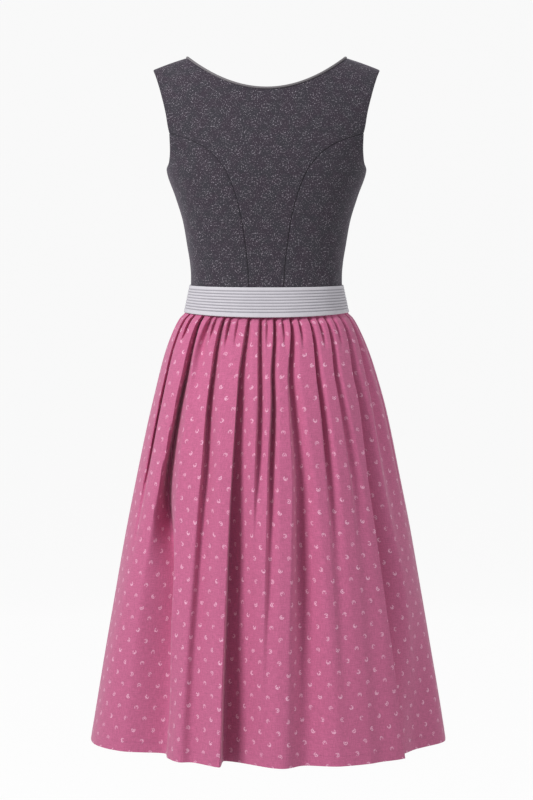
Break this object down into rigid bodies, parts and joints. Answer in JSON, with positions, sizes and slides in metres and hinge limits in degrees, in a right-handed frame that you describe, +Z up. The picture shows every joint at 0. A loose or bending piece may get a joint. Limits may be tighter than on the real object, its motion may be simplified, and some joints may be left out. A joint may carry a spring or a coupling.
{
  "type": "dirndl",
  "caption": "Sleeveless dirndl dress, filled out as worn: round-necked panelled bodice, stitched belt band and gathered midi skirt with scattered sprigs.",
  "frame": {"origin": "midway between the shoulder seams, at the height where they meet the neckline, where the wearer's shoulders hold the dress", "axes": "+Z up, +Y out of the back of the dress, -X towards the wearer's right side"},
  "size_m": [0.556, 0.4865, 1.0606],
  "materials": {
    "bodice_cotton": "matt woven cotton with fine pale rosettes",
    "binding_satin": "soft satin bias binding",
    "band_grosgrain": "ribbed band with rows of stitching, low sheen",
    "skirt_cotton": "matt slubbed cotton with small pale sprigs"
  },
  "bodies": {
    "root": {"bodice_back_centre": "bodice_cotton", "bodice_back_side_left": "bodice_cotton", "bodice_back_side_right": "bodice_cotton", "bodice_front_side_left": "bodice_cotton", "bodice_front_side_right": "bodice_cotton", "bodice_front_left": "bodice_cotton", "bodice_front_right": "bodice_cotton", "neck_binding": "binding_satin", "waistband": "band_grosgrain", "skirt_back": "skirt_cotton", "skirt_front": "skirt_cotton"}
  },
  "joints": []
}
